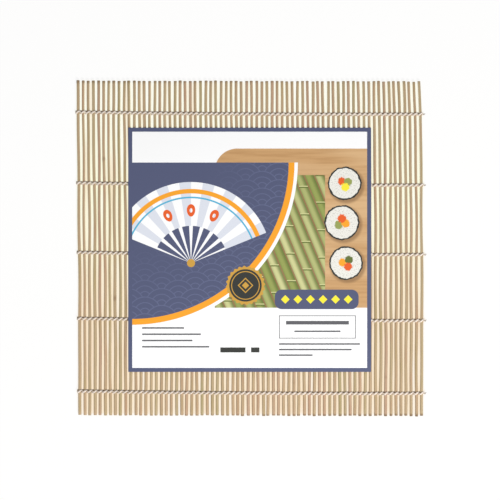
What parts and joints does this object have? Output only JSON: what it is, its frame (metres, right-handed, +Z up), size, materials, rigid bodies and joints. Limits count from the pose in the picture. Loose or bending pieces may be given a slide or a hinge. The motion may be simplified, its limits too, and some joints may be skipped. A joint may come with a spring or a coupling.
{
  "type": "sushi rolling mat",
  "caption": "Flat bamboo rolling mat: round sticks bound side by side by twined cotton thread, rolls up, with a square card label lying on it.",
  "frame": {"origin": "middle of the flat mat, on the surface that it lies on", "axes": "+X across the sticks towards the knotted edge, +Y along the sticks, +Z up"},
  "size_m": [0.2512, 0.24, 0.0044],
  "materials": {
    "bamboo": "bare bamboo, drawn round, matte with a faint sheen",
    "cotton_thread": "twisted cotton thread, undyed",
    "card": null
  },
  "bodies": {
    "link_01": {"bamboo_sticks_01": "bamboo", "string_turns_01": "cotton_thread"},
    "link_02": {"bamboo_sticks_02": "bamboo", "string_turns_02": "cotton_thread"},
    "link_03": {"bamboo_sticks_03": "bamboo", "string_turns_03": "cotton_thread"},
    "link_04": {"bamboo_sticks_04": "bamboo", "string_turns_04": "cotton_thread"},
    "link_05": {"bamboo_sticks_05": "bamboo", "string_turns_05": "cotton_thread"},
    "link_06": {"bamboo_sticks_06": "bamboo", "string_turns_06": "cotton_thread"},
    "link_07": {"bamboo_sticks_07": "bamboo", "string_turns_07": "cotton_thread"},
    "link_08": {"bamboo_sticks_08": "bamboo", "string_turns_08": "cotton_thread"},
    "link_09": {"bamboo_sticks_09": "bamboo", "string_turns_09": "cotton_thread"},
    "link_10": {"bamboo_sticks_10": "bamboo", "string_turns_10": "cotton_thread"},
    "link_11": {"bamboo_sticks_11": "bamboo", "string_turns_11": "cotton_thread"},
    "link_12": {"bamboo_sticks_12": "bamboo", "string_turns_12": "cotton_thread", "label_card": "card"},
    "link_13": {"bamboo_sticks_13": "bamboo", "string_turns_13": "cotton_thread"},
    "link_14": {"bamboo_sticks_14": "bamboo", "string_turns_14": "cotton_thread"},
    "link_15": {"bamboo_sticks_15": "bamboo", "string_turns_15": "cotton_thread"},
    "link_16": {"bamboo_sticks_16": "bamboo", "string_turns_16": "cotton_thread"},
    "link_17": {"bamboo_sticks_17": "bamboo", "string_turns_17": "cotton_thread"},
    "link_18": {"bamboo_sticks_18": "bamboo", "string_turns_18": "cotton_thread"},
    "link_19": {"bamboo_sticks_19": "bamboo", "string_turns_19": "cotton_thread"},
    "link_20": {"bamboo_sticks_20": "bamboo", "string_turns_20": "cotton_thread"},
    "link_21": {"bamboo_sticks_21": "bamboo", "string_turns_21": "cotton_thread"},
    "link_22": {"bamboo_sticks_22": "bamboo", "string_turns_22": "cotton_thread"},
    "link_23": {"bamboo_sticks_23": "bamboo", "string_turns_23": "cotton_thread"},
    "link_24": {"bamboo_sticks_24": "bamboo", "string_turns_24": "cotton_thread"},
    "link_25": {"bamboo_sticks_25": "bamboo", "string_turns_25": "cotton_thread"},
    "link_26": {"bamboo_sticks_26": "bamboo", "string_turns_26": "cotton_thread"},
    "link_27": {"bamboo_sticks_27": "bamboo", "string_turns_27": "cotton_thread"},
    "link_28": {"bamboo_sticks_28": "bamboo", "string_turns_28": "cotton_thread", "end_knots": "cotton_thread"}
  },
  "joints": [
    {"name": "roll_up", "type": "hinge", "parent": "link_01", "child": "link_02", "pos_m": [-0.11438, 0, 0.00205], "axis": [0, -1, 0], "range_deg": [0, 27.9], "deforming": ["label_card"]},
    {"name": "fold_02", "type": "hinge", "parent": "link_02", "child": "link_03", "pos_m": [-0.10339, 0, 0.00205], "axis": [0, -1, 0], "range_deg": [0, 28.5]},
    {"name": "fold_03", "type": "hinge", "parent": "link_03", "child": "link_04", "pos_m": [-0.0924, 0, 0.00205], "axis": [0, -1, 0], "range_deg": [0, 29.1]},
    {"name": "fold_04", "type": "hinge", "parent": "link_04", "child": "link_05", "pos_m": [-0.08141, 0, 0.00205], "axis": [0, -1, 0], "range_deg": [0, 29.7]},
    {"name": "fold_05", "type": "hinge", "parent": "link_05", "child": "link_06", "pos_m": [-0.07042, 0, 0.00205], "axis": [0, -1, 0], "range_deg": [0, 30.4]},
    {"name": "fold_06", "type": "hinge", "parent": "link_06", "child": "link_07", "pos_m": [-0.05942, 0, 0.00205], "axis": [0, -1, 0], "range_deg": [0, 31.1]},
    {"name": "fold_07", "type": "hinge", "parent": "link_07", "child": "link_08", "pos_m": [-0.04843, 0, 0.00205], "axis": [0, -1, 0], "range_deg": [0, 31.9]},
    {"name": "fold_08", "type": "hinge", "parent": "link_08", "child": "link_09", "pos_m": [-0.03744, 0, 0.00205], "axis": [0, -1, 0], "range_deg": [0, 32.7]},
    {"name": "fold_09", "type": "hinge", "parent": "link_09", "child": "link_10", "pos_m": [-0.02645, 0, 0.00205], "axis": [0, -1, 0], "range_deg": [0, 33.6]},
    {"name": "fold_10", "type": "hinge", "parent": "link_10", "child": "link_11", "pos_m": [-0.01546, 0, 0.00205], "axis": [0, -1, 0], "range_deg": [0, 34.5]},
    {"name": "fold_11", "type": "hinge", "parent": "link_11", "child": "link_12", "pos_m": [-0.00446, 0, 0.00205], "axis": [0, -1, 0], "range_deg": [0, 35.6]},
    {"name": "fold_12", "type": "hinge", "parent": "link_12", "child": "link_13", "pos_m": [0.00653, 0, 0.00205], "axis": [0, -1, 0], "range_deg": [0, 30.4]},
    {"name": "fold_13", "type": "hinge", "parent": "link_13", "child": "link_14", "pos_m": [0.01386, 0, 0.00205], "axis": [0, -1, 0], "range_deg": [0, 24.8]},
    {"name": "fold_14", "type": "hinge", "parent": "link_14", "child": "link_15", "pos_m": [0.02118, 0, 0.00205], "axis": [0, -1, 0], "range_deg": [0, 25.4]},
    {"name": "fold_15", "type": "hinge", "parent": "link_15", "child": "link_16", "pos_m": [0.02851, 0, 0.00205], "axis": [0, -1, 0], "range_deg": [0, 26]},
    {"name": "fold_16", "type": "hinge", "parent": "link_16", "child": "link_17", "pos_m": [0.03584, 0, 0.00205], "axis": [0, -1, 0], "range_deg": [0, 26.7]},
    {"name": "fold_17", "type": "hinge", "parent": "link_17", "child": "link_18", "pos_m": [0.04317, 0, 0.00205], "axis": [0, -1, 0], "range_deg": [0, 27.4]},
    {"name": "fold_18", "type": "hinge", "parent": "link_18", "child": "link_19", "pos_m": [0.0505, 0, 0.00205], "axis": [0, -1, 0], "range_deg": [0, 28.2]},
    {"name": "fold_19", "type": "hinge", "parent": "link_19", "child": "link_20", "pos_m": [0.05782, 0, 0.00205], "axis": [0, -1, 0], "range_deg": [0, 29]},
    {"name": "fold_20", "type": "hinge", "parent": "link_20", "child": "link_21", "pos_m": [0.06515, 0, 0.00205], "axis": [0, -1, 0], "range_deg": [0, 29.9]},
    {"name": "fold_21", "type": "hinge", "parent": "link_21", "child": "link_22", "pos_m": [0.07248, 0, 0.00205], "axis": [0, -1, 0], "range_deg": [0, 30.9]},
    {"name": "fold_22", "type": "hinge", "parent": "link_22", "child": "link_23", "pos_m": [0.07981, 0, 0.00205], "axis": [0, -1, 0], "range_deg": [0, 32.1]},
    {"name": "fold_23", "type": "hinge", "parent": "link_23", "child": "link_24", "pos_m": [0.08714, 0, 0.00205], "axis": [0, -1, 0], "range_deg": [0, 33.4]},
    {"name": "fold_24", "type": "hinge", "parent": "link_24", "child": "link_25", "pos_m": [0.09446, 0, 0.00205], "axis": [0, -1, 0], "range_deg": [0, 34.8]},
    {"name": "fold_25", "type": "hinge", "parent": "link_25", "child": "link_26", "pos_m": [0.10179, 0, 0.00205], "axis": [0, -1, 0], "range_deg": [0, 36.5]},
    {"name": "fold_26", "type": "hinge", "parent": "link_26", "child": "link_27", "pos_m": [0.10912, 0, 0.00205], "axis": [0, -1, 0], "range_deg": [0, 38.4]},
    {"name": "fold_27", "type": "hinge", "parent": "link_27", "child": "link_28", "pos_m": [0.11645, 0, 0.00205], "axis": [0, -1, 0], "range_deg": [0, 40.6]}
  ],
  "couplings": [
    {"joint": "fold_02", "follows": "roll_up", "ratio": 1.0196},
    {"joint": "fold_03", "follows": "roll_up", "ratio": 1.0404},
    {"joint": "fold_04", "follows": "roll_up", "ratio": 1.0625},
    {"joint": "fold_05", "follows": "roll_up", "ratio": 1.0861},
    {"joint": "fold_06", "follows": "roll_up", "ratio": 1.1114},
    {"joint": "fold_07", "follows": "roll_up", "ratio": 1.1386},
    {"joint": "fold_08", "follows": "roll_up", "ratio": 1.1679},
    {"joint": "fold_09", "follows": "roll_up", "ratio": 1.1995},
    {"joint": "fold_10", "follows": "roll_up", "ratio": 1.234},
    {"joint": "fold_11", "follows": "roll_up", "ratio": 1.2716},
    {"joint": "fold_12", "follows": "roll_up", "ratio": 1.0856},
    {"joint": "fold_13", "follows": "roll_up", "ratio": 0.8859},
    {"joint": "fold_14", "follows": "roll_up", "ratio": 0.9063},
    {"joint": "fold_15", "follows": "roll_up", "ratio": 0.9283},
    {"joint": "fold_16", "follows": "roll_up", "ratio": 0.952},
    {"joint": "fold_17", "follows": "roll_up", "ratio": 0.9776},
    {"joint": "fold_18", "follows": "roll_up", "ratio": 1.0054},
    {"joint": "fold_19", "follows": "roll_up", "ratio": 1.0357},
    {"joint": "fold_20", "follows": "roll_up", "ratio": 1.0689},
    {"joint": "fold_21", "follows": "roll_up", "ratio": 1.1056},
    {"joint": "fold_22", "follows": "roll_up", "ratio": 1.1464},
    {"joint": "fold_23", "follows": "roll_up", "ratio": 1.1921},
    {"joint": "fold_24", "follows": "roll_up", "ratio": 1.2439},
    {"joint": "fold_25", "follows": "roll_up", "ratio": 1.3031},
    {"joint": "fold_26", "follows": "roll_up", "ratio": 1.3717},
    {"joint": "fold_27", "follows": "roll_up", "ratio": 1.4528}
  ]
}
